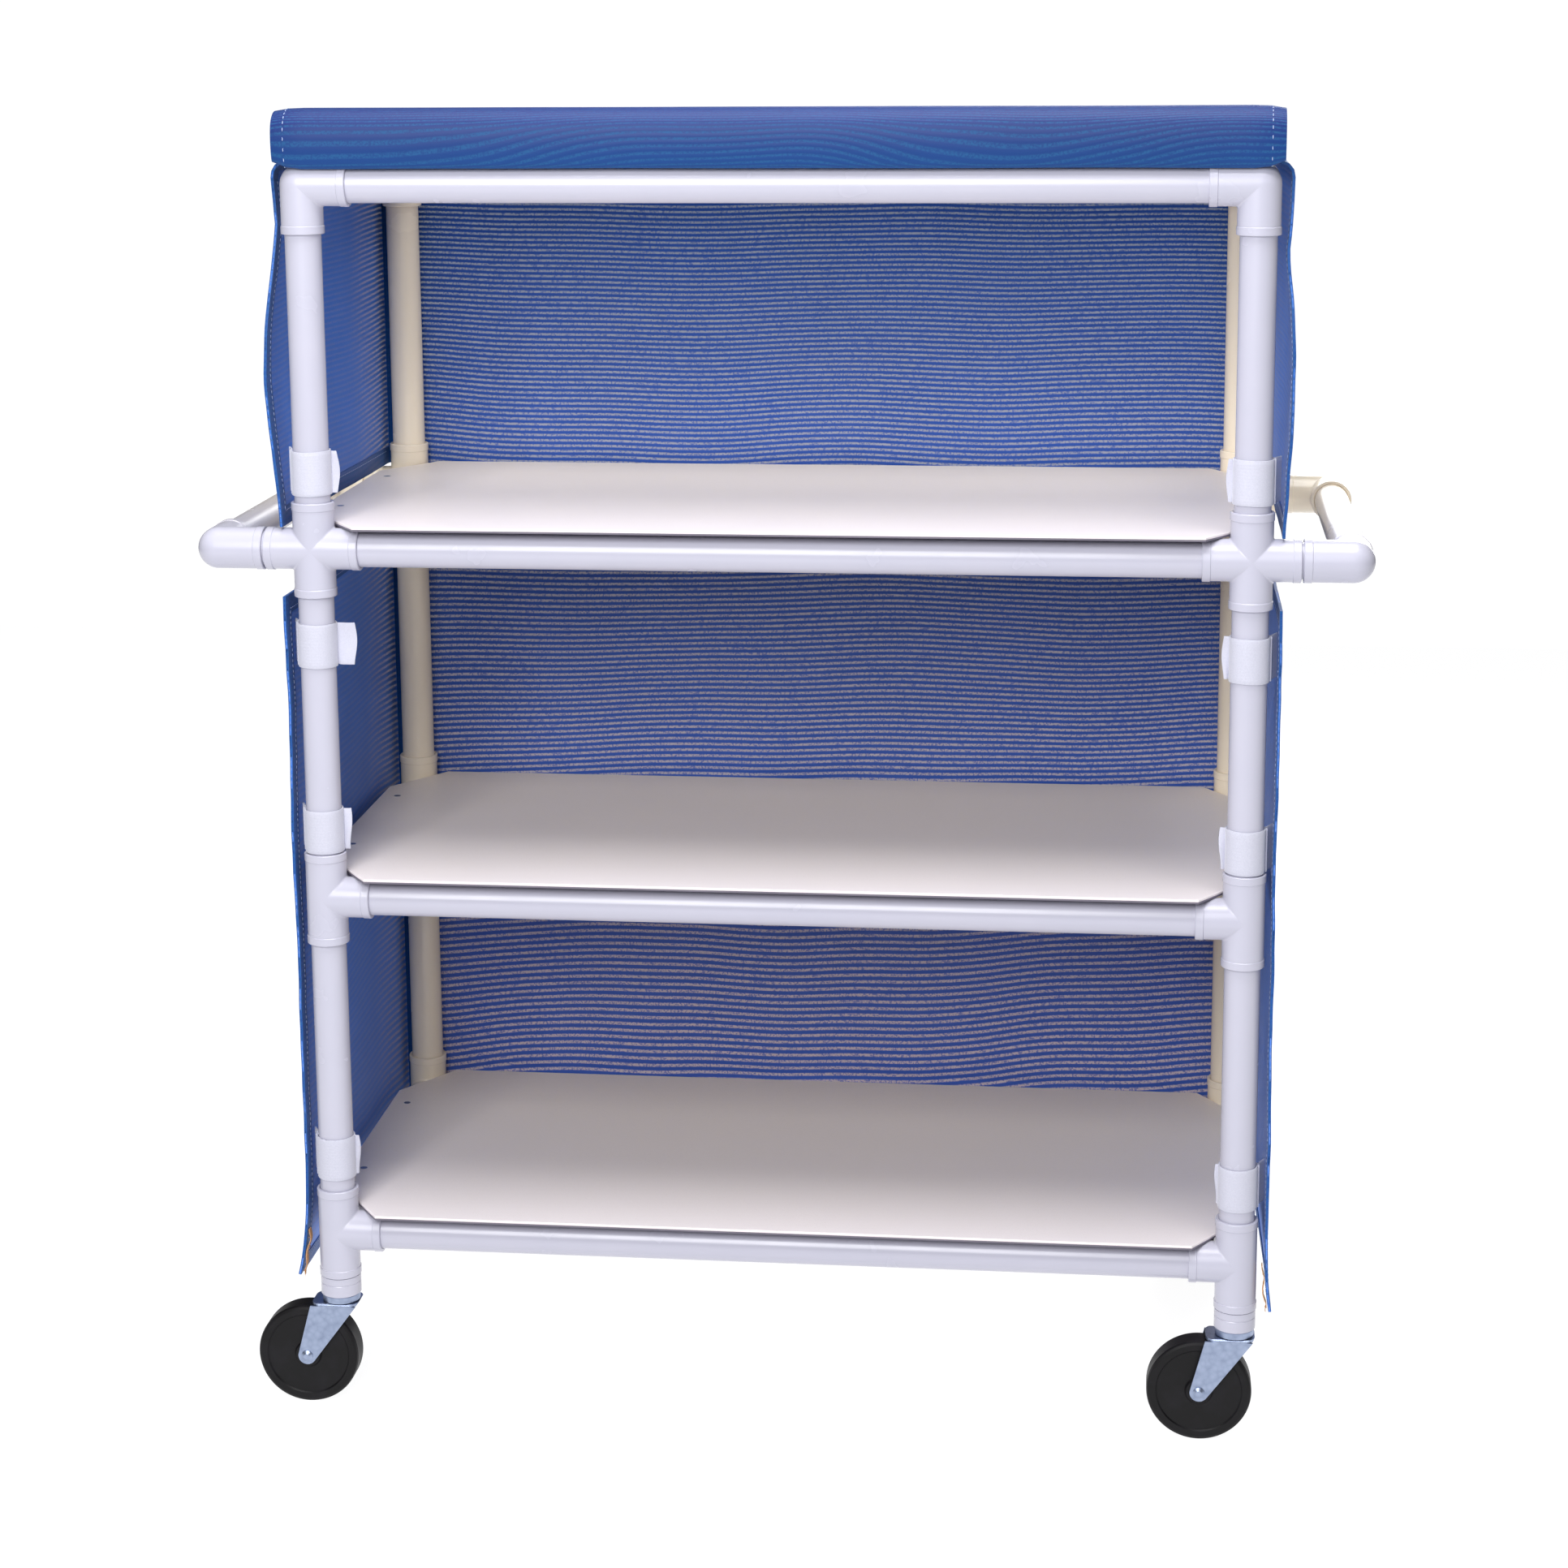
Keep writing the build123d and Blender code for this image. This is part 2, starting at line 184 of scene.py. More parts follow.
studio = {
    "cameraPlace": (0.415, -3.804, 1.700),
    "pitch": 0.1976,      # radians below level
    "turn": 0.1121,       # radians towards the left handle
    "tilt": 0.0070,
    "lens": 72.2,
    "shiftY": -0.1,
    "floorSize": 9.0,
    "floorColour": "#6a6a6c",
    "floorGlow": 0.95,    # a light table: the floor is as white as the sky behind it
    "skyColour": "#ffffff",
    "skySeen": 1.05,      # what the camera sees behind the trolley
    "skyLight": 0.1,      # what the sky adds to the light
    "aim": (0, 0, 0.8),   # where all the lamps point
    "lamps": {            # place, side of the square in metres, power in watts
        "key": ((-0.5, -3.3, 2.5), 1.8, 105.0),
        "top": ((0.1, -0.5, 3.9), 2.6, 140.0),
        "back": ((0.9, 3.4, 2.0), 2.6, 100.0),
    },
}


def setStudio():
    camera = bpy.data.cameras.new("camera")
    holder = bpy.data.objects.new("camera", camera)
    bpy.context.collection.objects.link(holder)
    camera.lens = studio["lens"]
    camera.shift_y = studio["shiftY"]
    holder.location = studio["cameraPlace"]
    holder.rotation_euler = (math.pi / 2 - studio["pitch"], studio["tilt"], studio["turn"])
    bpy.context.scene.camera = holder

    deselectAll()
    bpy.ops.mesh.primitive_plane_add(size=studio["floorSize"])
    floor = bpy.context.object
    floor.name = "floor"
    material, tree, surface, coords = newMaterial("lit studio floor", Roughness=0.9)
    surface.inputs["Base Color"].default_value = linear(studio["floorColour"])
    surface.inputs["Emission Color"].default_value = linear(studio["skyColour"])
    surface.inputs["Emission Strength"].default_value = studio["floorGlow"]
    floor.data.materials.append(material)

    world = bpy.data.worlds.new("studio")
    world.use_nodes = True
    tree = world.node_tree
    sky = tree.nodes["Background"]
    sky.inputs["Color"].default_value = linear(studio["skyColour"])
    direct = tree.nodes.new("ShaderNodeLightPath").outputs["Is Camera Ray"]
    strength = addNode(tree, "ShaderNodeMapRange", {"Value": direct, "To Min": studio["skyLight"],
                                                    "To Max": studio["skySeen"]})
    tree.links.new(strength, sky.inputs["Strength"])
    bpy.context.scene.world = world
    bpy.context.scene.view_settings.view_transform = "Standard"

    aim = Vector(studio["aim"])
    for name, (place, size, power) in studio["lamps"].items():
        lamp = bpy.data.lights.new(name, "AREA")
        lamp.size = size
        lamp.energy = power
        holder = bpy.data.objects.new(name, lamp)
        bpy.context.collection.objects.link(holder)
        holder.location = place
        holder.rotation_euler = (aim - holder.location).to_track_quat("-Z", "Y").to_euler()


setStudio()
print("studio set")


# finishes of the rigid parts, which keep the frame's own shapes

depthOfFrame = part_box("top_corner_front_left")[0].y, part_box("top_corner_rear_left")[1].y


def frontToBack(tree, coords):
    # 0 at the front posts and 1 at the rear ones
    low, high = depthOfFrame
    depth = addNode(tree, "ShaderNodeSeparateXYZ", {"Vector": coords}, output="Y")
    return addNode(tree, "ShaderNodeMapRange", {"Value": depth, "From Min": low, "From Max": high})


pvc = {
    "front": "#c3c2d2",
    "rear": "#fdeed2",      # painted light: brighter and warmer towards the rear, for the warm light that falls on the rear posts
    "mottle": "#bdbdce",
    "roughness": 0.21,
    "extrusionLine": 5.0,   # mm across a ripple left by the die
    "mouldGrain": 2.0,      # mm
    "handlingMark": 60.0,   # mm
}


def makePvc(name, grain, depth):
    # rigid PVC, furniture grade: a bluish white skin with a broad soft gloss and slight ripples
    material, tree, surface, coords = newMaterial(name, IOR=1.53)
    marks = addNode(tree, "ShaderNodeTexNoise", {"Vector": coords, "Detail": 3.0,
                                                 "Scale": 1 / (pvc["handlingMark"] * mm)})
    skin = addNode(tree, "ShaderNodeMix", {0: marks, 6: linear(pvc["front"]), 7: linear(pvc["mottle"])},
                   **colourMix)
    # painted light: the skin turns to the brighter, warmer rear colour towards the rear posts, standing in
    # for the warm light there
    warmRearLight = addNode(tree, "ShaderNodeMix", {0: frontToBack(tree, coords), 6: skin, 7: linear(pvc["rear"])},
                   **colourMix)
    tree.links.new(warmRearLight, surface.inputs["Base Color"])
    rough = addNode(tree, "ShaderNodeMapRange", {"Value": marks, "To Min": pvc["roughness"] - 0.05,
                                                 "To Max": pvc["roughness"] + 0.12})
    tree.links.new(rough, surface.inputs["Roughness"])
    ripple = addNode(tree, "ShaderNodeTexNoise", {"Vector": coords, "Scale": 1 / (grain * mm),
                                                  "Detail": 2.0})
    bump = addNode(tree, "ShaderNodeBump", {"Height": ripple, "Strength": depth, "Distance": 0.2 * mm})
    tree.links.new(bump, surface.inputs["Normal"])
    return material


board = {
    "front": "#f1e9ea",
    # painted light: the rear colour is brighter and warmer than the front, standing in for the warm light
    # reaching the back of the shelves
    "rear": "#fff1dc",
    "shadeUnderBoard": "#6f6a78",   # painted shade: the lower half of each board is coloured dark, seen as a dark line along the edges where the gap under the board is in shadow
    "speck": "#c3b6b1",
    "speckSize": 1.3,       # mm
    "roughness": 0.42,
}


def makeBoardLaminate():
    # high-pressure laminate on a cream core: matt, with a fine pebble that breaks up the gloss
    material, tree, surface, coords = newMaterial("cream laminate", IOR=1.5)
    # painted light: the face turns brighter and warmer towards the rear
    base = addNode(tree, "ShaderNodeMix", {0: frontToBack(tree, coords), 6: linear(board["front"]),
                                           7: linear(board["rear"])}, **colourMix)
    pebble = addNode(tree, "ShaderNodeTexNoise", {"Vector": coords, "Detail": 4.0,
                                                  "Scale": 1 / (board["speckSize"] * mm)})
    specks = addNode(tree, "ShaderNodeMapRange", {"Value": pebble, "From Min": 0.55, "From Max": 0.8,
                                                  "To Max": 0.45})
    cloud = addNode(tree, "ShaderNodeTexNoise", {"Vector": coords, "Scale": 6.0, "Detail": 3.0})
    share = addNode(tree, "ShaderNodeMath", {0: specks, 1: cloud}, operation="MULTIPLY")
    face = addNode(tree, "ShaderNodeMix", {0: share, 6: base, 7: linear(board["speck"])}, **colourMix)
    # painted shade: the lower half of each board, its underside and the lower half of its edges, takes the
    # dark colour
    low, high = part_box("shelf_lower")
    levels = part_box("shelf_middle")[0].z - low.z
    up = addNode(tree, "ShaderNodeSeparateXYZ", {"Vector": coords}, output="Z")
    above = addNode(tree, "ShaderNodeMath", {0: up, 1: low.z - 0.2 * mm}, operation="SUBTRACT")
    inBoard = addNode(tree, "ShaderNodeMath", {0: above, 1: levels}, operation="MODULO")
    lowerHalfShaded = addNode(tree, "ShaderNodeMath", {0: inBoard, 1: (high.z - low.z) * 0.5},
                     operation="LESS_THAN")
    colour = addNode(tree, "ShaderNodeMix", {0: lowerHalfShaded, 6: face, 7: linear(board["shadeUnderBoard"])}, **colourMix)
    tree.links.new(colour, surface.inputs["Base Color"])
    rough = addNode(tree, "ShaderNodeMapRange", {"Value": cloud, "To Min": board["roughness"] - 0.06,
                                                 "To Max": board["roughness"] + 0.1})
    tree.links.new(rough, surface.inputs["Roughness"])
    bump = addNode(tree, "ShaderNodeBump", {"Height": pebble, "Strength": 0.12, "Distance": 0.15 * mm})
    tree.links.new(bump, surface.inputs["Normal"])
    return material


zinc = {
    "bright": "#a6b2cc",
    "dull": "#76839f",
    "crystal": 7.0,         # mm across a patch of the passivated zinc
    "brushing": 0.5,        # mm between the fine lines left by the press
}


def makeZincSteel():
    # pressed steel with bright zinc and a blue passivation: patchy grey-blue with a soft metal shine
    material, tree, surface, coords = newMaterial("zinc-plated steel", Metallic=1.0)
    patches = addNode(tree, "ShaderNodeTexVoronoi", {"Vector": coords,
                                                     "Scale": 1 / (zinc["crystal"] * mm)})
    bloom = addNode(tree, "ShaderNodeTexNoise", {"Vector": coords, "Scale": 90.0, "Detail": 5.0})
    share = addNode(tree, "ShaderNodeMath", {0: patches, 1: bloom}, operation="MULTIPLY")
    colour = addNode(tree, "ShaderNodeMix", {0: share, 6: linear(zinc["bright"]),
                                             7: linear(zinc["dull"])}, **colourMix)
    tree.links.new(colour, surface.inputs["Base Color"])
    rough = addNode(tree, "ShaderNodeMapRange", {"Value": bloom, "To Min": 0.24, "To Max": 0.5})
    tree.links.new(rough, surface.inputs["Roughness"])
    lines = addNode(tree, "ShaderNodeTexNoise", {"Vector": coords, "Scale": 1 / (zinc["brushing"] * mm)})
    bump = addNode(tree, "ShaderNodeBump", {"Height": lines, "Strength": 0.1, "Distance": 0.1 * mm})
    tree.links.new(bump, surface.inputs["Normal"])
    return material


rubber = {
    "black": "#08070a",
    "dusty": "#1e1c23",
    "grit": 1.1,            # mm
}


def makeRubber():
    # solid black rubber: near black, matt, greyer where the tread has picked up dust
    material, tree, surface, coords = newMaterial("solid black rubber", IOR=1.52)
    surface.inputs["Specular IOR Level"].default_value = 0.25
    dust = addNode(tree, "ShaderNodeTexNoise", {"Vector": coords, "Scale": 40.0, "Detail": 6.0})
    share = addNode(tree, "ShaderNodeMapRange", {"Value": dust, "From Min": 0.45, "From Max": 0.8,
                                                 "To Max": 0.6})
    colour = addNode(tree, "ShaderNodeMix", {0: share, 6: linear(rubber["black"]),
                                             7: linear(rubber["dusty"])}, **colourMix)
    tree.links.new(colour, surface.inputs["Base Color"])
    rough = addNode(tree, "ShaderNodeMapRange", {"Value": dust, "To Min": 0.36, "To Max": 0.62})
    tree.links.new(rough, surface.inputs["Roughness"])
    grit = addNode(tree, "ShaderNodeTexNoise", {"Vector": coords, "Scale": 1 / (rubber["grit"] * mm)})
    bump = addNode(tree, "ShaderNodeBump", {"Height": grit, "Strength": 0.2, "Distance": 0.2 * mm})
    tree.links.new(bump, surface.inputs["Normal"])
    return material


def dressFrame():
    pipe = makePvc("extruded PVC pipe", pvc["extrusionLine"], 0.03)
    fitting = makePvc("moulded PVC fitting", pvc["mouldGrain"], 0.05)
    laminate = makeBoardLaminate()
    steel = makeZincSteel()
    tyre = makeRubber()
    finishes = {
        "post": pipe, "long": pipe, "side": pipe, "handle_bar": pipe,
        "top": fitting, "handle": fitting, "middle": fitting, "bottom": fitting, "caster_sockets": fitting,
        "shelf": laminate, "wheel": tyre,
        "shelf_screws": steel, "caster_stems": steel, "bearing": steel, "fork": steel, "axle": steel,
    }
    for name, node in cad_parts.items():
        starts = [start for start in finishes if name.startswith(start)]
        if starts:
            for slot in node.material_slots:
                slot.material = finishes[max(starts, key=len)]


dressFrame()
print("frame dressed")


# the cover: a mesh hood of back, top and side panels, bound at its edges

topLow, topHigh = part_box("cover_top")
backLow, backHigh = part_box("cover_back")
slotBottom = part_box("cover_side_left_lower")[1].z
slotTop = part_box("cover_side_left_upper")[0].z

hood = {
    "cloth": 1.2 * mm,
    "inset": (topHigh.z - topLow.z) / 2,   # from the outside of the cover to the middle of the cloth
    "corner": 20 * mm,
    "grid": 26 * mm,
    "hem": 22 * mm,
    "hemCloth": 3.4 * mm,
    "weltCloth": 3.0 * mm,
    "topSag": 13 * mm,
    "backBelly": 7 * mm,
    "sideBelly": {"left": 13 * mm, "right": 8 * mm},
    "hug": 5.0 * mm,        # how far the sides are drawn in against the top elbows
    "tuck": 24 * mm,        # and their top corners back behind them
    "bellyHeight": 1.28,
    "bellySpread": 0.13,
    "flare": {"left": 14 * mm, "right": 6 * mm},
    "flareReach": 0.05,
    "looseRun": 80 * mm,    # below the top edge, until the cloth hangs free
    "rippleSize": 0.16,
    "fineRipple": 55 * mm,
    "ripple": 2.2 * mm,
    # depths or heights where a bend starts, and the run over which it grows to its full size
    "sidesBend": (0.20, 0.36),
    "sidesRipple": (0.24, 0.10),
    "sidesHug": (0.10, 0.20),
    "sidesTuck": (-0.06, 0.20),
    "elbows": (1.30, 0.18),
    "backLow": (0.50, 0.40),
    # the top lies flat for this far from its edges, then sags over the run
    "rim": {"front": 45 * mm, "back": 50 * mm, "sides": 50 * mm},
    "sagRun": {"depth": 0.16, "width": 0.22},
}
hoodX = topHigh.x - hood["inset"]
hoodFront = topLow.y
hoodBack = topHigh.y - hood["inset"]
hoodTop = topHigh.z - hood["inset"]
hoodBottom = backLow.z


def ease(value):
    value = min(max(value, 0.0), 1.0)
    return value * value * (3 - 2 * value)


def below(value, start, run):
    # 0 from the start up, growing to 1 where the value has come down by the run
    return ease((start - value) / run)


def drape(place):
    # where a point of the flat-sided hood hangs once the cloth has bellied, sagged and flared
    x, y, z = place
    shape = Vector(place)
    side = "left" if x < 0 else "right"
    onSide = ease((abs(x) - hoodX + hood["corner"]) / hood["corner"])
    onBack = ease((y - hoodBack + hood["corner"]) / hood["corner"])
    onTop = ease((z - hoodTop + hood["corner"]) / hood["corner"])
    swell = noise.noise(Vector((x, y, z)) / hood["rippleSize"] + Vector((7.3, 1.9, 4.1)))
    fine = noise.noise(Vector((x, y, z * 1.6)) / hood["fineRipple"] + Vector((2.1, 5.7, 0.4)))
    loose = below(z, hoodTop, hood["looseRun"])
    forward = below(y, *hood["sidesBend"])

    belly = hood["sideBelly"][side] * math.exp(-((z - hood["bellyHeight"]) / hood["bellySpread"]) ** 2)
    flare = hood["flare"][side] * math.exp(-(z - hoodBottom) / hood["flareReach"])
    slack = hood["ripple"] * (0.6 + swell + 0.35 * fine)
    ripples = loose * below(y, *hood["sidesRipple"]) * slack
    sideways = onSide * (1 - onBack) * (forward * (belly + flare) + ripples)
    elbowFoot, elbowRun = hood["elbows"]
    atElbow = onSide * ease((z - elbowFoot) / elbowRun)
    sideways -= hood["hug"] * atElbow * below(y, *hood["sidesHug"])
    shape.y += hood["tuck"] * atElbow * below(y, *hood["sidesTuck"])
    shape.x += math.copysign(sideways, x)

    # the back bellies most in the middle of its width and low down
    across = math.cos(math.pi * x / (2 * hoodX)) ** 2
    bulge = hood["backBelly"] * (0.45 + 0.8 * swell + 0.2 * fine + 0.4 * below(z, *hood["backLow"]))
    shape.y += onBack * (1 - onSide) * loose * across * bulge

    # the top sags away from the rails that carry it
    rim, run = hood["rim"], hood["sagRun"]
    inX = below(abs(x), hoodX - rim["sides"], run["width"])
    inY = ease((y - hoodFront - rim["front"]) / run["depth"])
    inY *= below(y, hoodBack - rim["back"], run["depth"])
    shape.z -= onTop * inX * inY * hood["topSag"] * (1 + 0.3 * swell)
    return shape


def makeHood():
    # a block open at the front and underneath, its edges rounded, cut into a grid to bend at
    size = Vector((2 * hoodX, hoodBack - hoodFront, hoodTop - hoodBottom))
    middle = Vector((0, (hoodBack + hoodFront) / 2, (hoodTop + hoodBottom) / 2))
    deselectAll()
    bpy.ops.mesh.primitive_cube_add(size=1, location=middle, scale=size)
    block = bpy.context.object
    placeInMesh(block)
    dropFaces(block, lambda place, face: face.normal.y < -0.9 or face.normal.z < -0.9)

    def rounded(place, edge):
        ends = [block.data.vertices[index].co for index in edge.vertices]
        fullBack = all(end.y > hoodBack - mm for end in ends)
        fullTop = all(end.z > hoodTop - mm for end in ends)
        fullSide = all(abs(end.x) > hoodX - mm and end.x * ends[0].x > 0 for end in ends)
        return fullBack + fullTop + fullSide == 2

    pick(block, "edges", rounded)
    bpy.ops.mesh.bevel(offset=hood["corner"], segments=4, affect="EDGES")
    bpy.ops.object.mode_set(mode="OBJECT")

    cuts = []
    edges = hood["corner"]
    for axis, low, high, extra in (
            (0, -hoodX + edges, hoodX - edges, ()),
            (1, hoodFront, hoodBack - edges, (hoodFront + hood["hem"],)),
            (2, hoodBottom, hoodTop - edges, (hoodBottom + hood["hem"], slotBottom - hood["hem"], slotBottom,
                                              slotTop, slotTop + hood["hem"]))):
        count = round((high - low) / hood["grid"])
        steps = [low + (high - low) * i / count for i in range(1, count)]
        steps = [s for s in steps if all(abs(s - e) > 6 * mm for e in extra)]
        cuts += [(axis, step) for step in steps + list(extra)]
    activate(block)
    bpy.ops.object.mode_set(mode="EDIT")
    for axis, step in cuts:
        point, normal = [0, 0, 0], [0, 0, 0]
        point[axis], normal[axis] = step, 1
        bpy.ops.mesh.select_all(action="SELECT")
        bpy.ops.mesh.bisect(plane_co=point, plane_no=normal)
    bpy.ops.object.mode_set(mode="OBJECT")

    reach = hoodBack - 2 * mm
    dropFaces(block, lambda place, face: slotBottom < place.z < slotTop and place.y < reach
              and abs(place.x) > hoodX - 0.9 * hood["corner"])
    return block


def onTopPanel(place):
    return place.z > hoodTop - 0.3 * hood["corner"]


def onBackPanel(place):
    return not onTopPanel(place) and place.y > hoodBack - 0.3 * hood["corner"]


def onSidePanel(place, side, part):
    if onTopPanel(place) or onBackPanel(place) or (place.x < 0) != (side == "left"):
        return False
    return (place.z > slotTop) == (part == "upper")


def inHem(place):
    if onTopPanel(place):
        return place.y < hoodFront + hood["hem"]
    atFoot = place.z < hoodBottom + hood["hem"]
    if onBackPanel(place):
        return atFoot
    bySlot = slotBottom - hood["hem"] < place.z < slotTop + hood["hem"]
    return atFoot or bySlot or place.y < hoodFront + hood["hem"]


def hung(piece, thickness, rows=1):
    # bends the cloth, then gives it its thickness
    applied(piece, "SUBSURF", subdivision_type="SIMPLE", levels=rows, render_levels=rows)
    for vertex in piece.data.vertices:
        vertex.co = drape(vertex.co)
    applied(piece, "SOLIDIFY", thickness=thickness, offset=0)
    smoothed(piece)
    return piece


mesh = {
    "rib": {"top": 6.4, "foot": 9.6},   # mm from rib to rib, as coarse as the weave reads across a room
    "thread": 2.4,          # mm between the cross threads, also coarser than the real 1 mm
    "rise": 0.055,          # slope of the ribs at the foot, where the cloth hangs skewed
    # painted light and shade: the mesh is dyed one blue, but each panel's colours run from a lighter foot to
    # a darker top, standing in for how light falls on it; the roll is darker and purpler on top; the panels'
    # pale gaps, pinkish at the foot, stand in for light seen through the weave
    "backTop": "#034092",
    "backFoot": "#3f60ba",
    "sideTop": "#2c6cc6",
    "sideFoot": "#6090ea",
    "gapTop": "#8398b2",
    "gapFoot": "#e2cfd2",
    "hemTop": "#174c92",
    "hemFoot": "#1d519c",
    "rollTop": "#121e62",
    "rollFront": "#043e80",
    "rollGap": "#246894",
    "roughness": 0.5,
}


def meshCloth(name, high, low, gapColours, ribAxis, opening, ribsFrom=None, sharp=1.0, sheer=0.0,
              span=None, rib=None):
    # vinyl-coated polyester mesh: flat glossy ribs with duller gaps that let a little light through
    # opening and sheer: how see-through the gaps and the ribs are; sharp: how clear the gaps are
    # span: the heights between which the colours run; ribsFrom: the depths where the gaps fade in
    material, tree, surface, coords = newMaterial(name, IOR=1.5)
    surface.inputs["Specular IOR Level"].default_value = 0.3
    surface.inputs["Sheen Weight"].default_value = 0.06
    surface.inputs["Sheen Roughness"].default_value = 0.4
    parts = addNode(tree, "ShaderNodeSeparateXYZ", {"Vector": coords}).node.outputs
    foot, head = span or (hoodBottom, hoodTop)
    height = addNode(tree, "ShaderNodeMapRange", {"Value": parts["Z"], "From Min": foot, "From Max": head})
    if ribAxis == "UV":
        flat = tree.nodes.new("ShaderNodeUVMap").outputs["UV"]
        along = addNode(tree, "ShaderNodeSeparateXYZ", {"Vector": flat}, output="Y")
    else:
        along = parts[ribAxis]

    # the ribs wander more near the foot, where the cloth hangs slack
    stretched = addNode(tree, "ShaderNodeMapping", {"Vector": coords, "Scale": (1.0, 1.0, 0.7)})
    wander = addNode(tree, "ShaderNodeTexNoise", {"Vector": stretched, "Scale": 2.6, "Detail": 1.0})
    slack = addNode(tree, "ShaderNodeMapRange", {"Value": height, "To Min": 60 * mm, "To Max": 26 * mm})
    drift = addNode(tree, "ShaderNodeMath", {0: wander, 1: slack}, operation="MULTIPLY")
    place = addNode(tree, "ShaderNodeMath", {0: along, 1: drift}, operation="ADD")
    if ribAxis == "Z":
        skew = addNode(tree, "ShaderNodeMapRange", {"Value": height, "From Max": 0.7,
                                                    "To Min": -mesh["rise"], "To Max": 0.0})
        rise = addNode(tree, "ShaderNodeMath", {0: parts["X"], 1: skew}, operation="MULTIPLY")
        place = addNode(tree, "ShaderNodeMath", {0: place, 1: rise}, operation="ADD")
    # ribs for each metre of height at the foot, and how many more there are at the top
    few, many = (1 / ((rib or mesh["rib"][end]) * mm) for end in ("foot", "top"))
    growth = (many - few) / (2 * (hoodTop - hoodBottom))
    spacing = addNode(tree, "ShaderNodeMath", {0: place, 1: growth, 2: few - 2 * growth * hoodBottom},
                      operation="MULTIPLY_ADD")
    count = addNode(tree, "ShaderNodeMath", {0: place, 1: spacing}, operation="MULTIPLY")
    phase = addNode(tree, "ShaderNodeMath", {0: count, 1: 2 * math.pi}, operation="MULTIPLY")
    wave = addNode(tree, "ShaderNodeMath", {0: phase}, operation="SINE")
    gaps = addNode(tree, "ShaderNodeMapRange", {"Value": wave, "From Min": -0.35, "From Max": 0.9,
                                                "To Max": sharp}, interpolation_type="SMOOTHSTEP")
    threads = addNode(tree, "ShaderNodeTexNoise", {"Vector": coords, "Scale": 1 / (mesh["thread"] * mm),
                                                   "Detail": 2.0})
    broken = addNode(tree, "ShaderNodeMapRange", {"Value": threads, "From Min": 0.38, "From Max": 0.58,
                                                  "To Min": 0.25, "To Max": 1.15})
    gaps = addNode(tree, "ShaderNodeMath", {0: gaps, 1: broken}, operation="MULTIPLY")
    if ribsFrom is not None:
        near = addNode(tree, "ShaderNodeMapRange", {"Value": parts["Y"], "From Min": ribsFrom[0],
                                                    "From Max": ribsFrom[1], "To Min": 0.15})
        gaps = addNode(tree, "ShaderNodeMath", {0: gaps, 1: near}, operation="MULTIPLY")

    # painted light and shade: the colour runs with height from the foot colour to the top colour, and the
    # gaps take their own colours, standing in for how light falls on the cloth and comes through the weave
    paintedHeightLight = addNode(tree, "ShaderNodeMix", {0: height, 6: linear(low), 7: linear(high)}, **colourMix)
    shade = addNode(tree, "ShaderNodeTexNoise", {"Vector": coords, "Scale": 3.0, "Detail": 5.0})
    uneven = addNode(tree, "ShaderNodeHueSaturation", {"Color": paintedHeightLight, "Value": addNode(
        tree, "ShaderNodeMapRange", {"Value": shade, "To Min": 0.82, "To Max": 1.18})})
    gap = addNode(tree, "ShaderNodeMix", {0: height, 6: linear(gapColours[0]), 7: linear(gapColours[1])},
                  **colourMix)
    colour = addNode(tree, "ShaderNodeMix", {0: gaps, 6: uneven, 7: gap}, **colourMix)
    tree.links.new(colour, surface.inputs["Base Color"])
    rough = addNode(tree, "ShaderNodeMapRange", {"Value": gaps, "To Min": mesh["roughness"],
                                                 "To Max": 0.85})
    tree.links.new(rough, surface.inputs["Roughness"])
    if opening:
        # the weave closes up towards the foot, where nothing stretches it
        through = addNode(tree, "ShaderNodeMapRange", {"Value": height, "From Min": 0.2, "From Max": 0.75,
                                                       "To Min": 1 - opening * 0.45, "To Max": 1 - opening})
        solid = addNode(tree, "ShaderNodeMapRange", {"Value": gaps, "To Min": 1 - sheer, "To Max": through})
        tree.links.new(solid, surface.inputs["Alpha"])
    weave = addNode(tree, "ShaderNodeMath", {0: threads, 1: wave}, operation="SUBTRACT")
    bump = addNode(tree, "ShaderNodeBump", {"Height": weave, "Strength": 0.25, "Distance": 0.3 * mm})
    tree.links.new(bump, surface.inputs["Normal"])
    return material


stitch = {
    "colour": "#c3cfea",
    "shade": "#8fa4d2",
    "pitch": 6.5 * mm,      # twice the real pitch, so that it shows
    "length": 4.6 * mm,
    "width": 1.0 * mm,
    "fromEdge": 5 * mm,     # inside the inner edge of the hem
}


def makeThread():
    # bonded polyester thread, paler than the mesh, with a twist that catches the light
    material, tree, surface, coords = newMaterial("pale blue thread", Roughness=0.55)
    twist = addNode(tree, "ShaderNodeTexNoise", {"Vector": coords, "Scale": 900.0})
    colour = addNode(tree, "ShaderNodeMix", {0: twist, 6: linear(stitch["shade"]),
                                             7: linear(stitch["colour"])}, **colourMix)
    tree.links.new(colour, surface.inputs["Base Color"])
    return material


def stitchTemplate():
    deselectAll()
    bpy.ops.mesh.primitive_uv_sphere_add(segments=6, ring_count=4, radius=0.5)
    one = bpy.context.object
    one.scale = (stitch["length"], stitch["width"], stitch["width"] * 0.7)
    placeInMesh(one)
    return one


def facing(ahead, up):
    # turns a stitch to lie along the seam
    return Matrix((ahead, up.cross(ahead), up)).transposed().to_4x4()


def stitchesAlong(start, end, outward):
    # stitches of one seam, sunk a little in both faces of the hem
    places = []
    count = int((end - start).length / stitch["pitch"])
    step = (end - start).normalized()
    for i in range(count):
        middle = start + step * stitch["pitch"] * (i + 0.5)
        ahead = (drape(middle + step * 2 * mm) - drape(middle - step * 2 * mm)).normalized()
        up = (outward - ahead * ahead.dot(outward)).normalized()
        for face in (-1, 1):
            point = drape(middle) + up * face * (hood["hemCloth"] / 2 + 0.1 * mm)
            places.append(Matrix.Translation(point) @ facing(ahead, up))
    return places


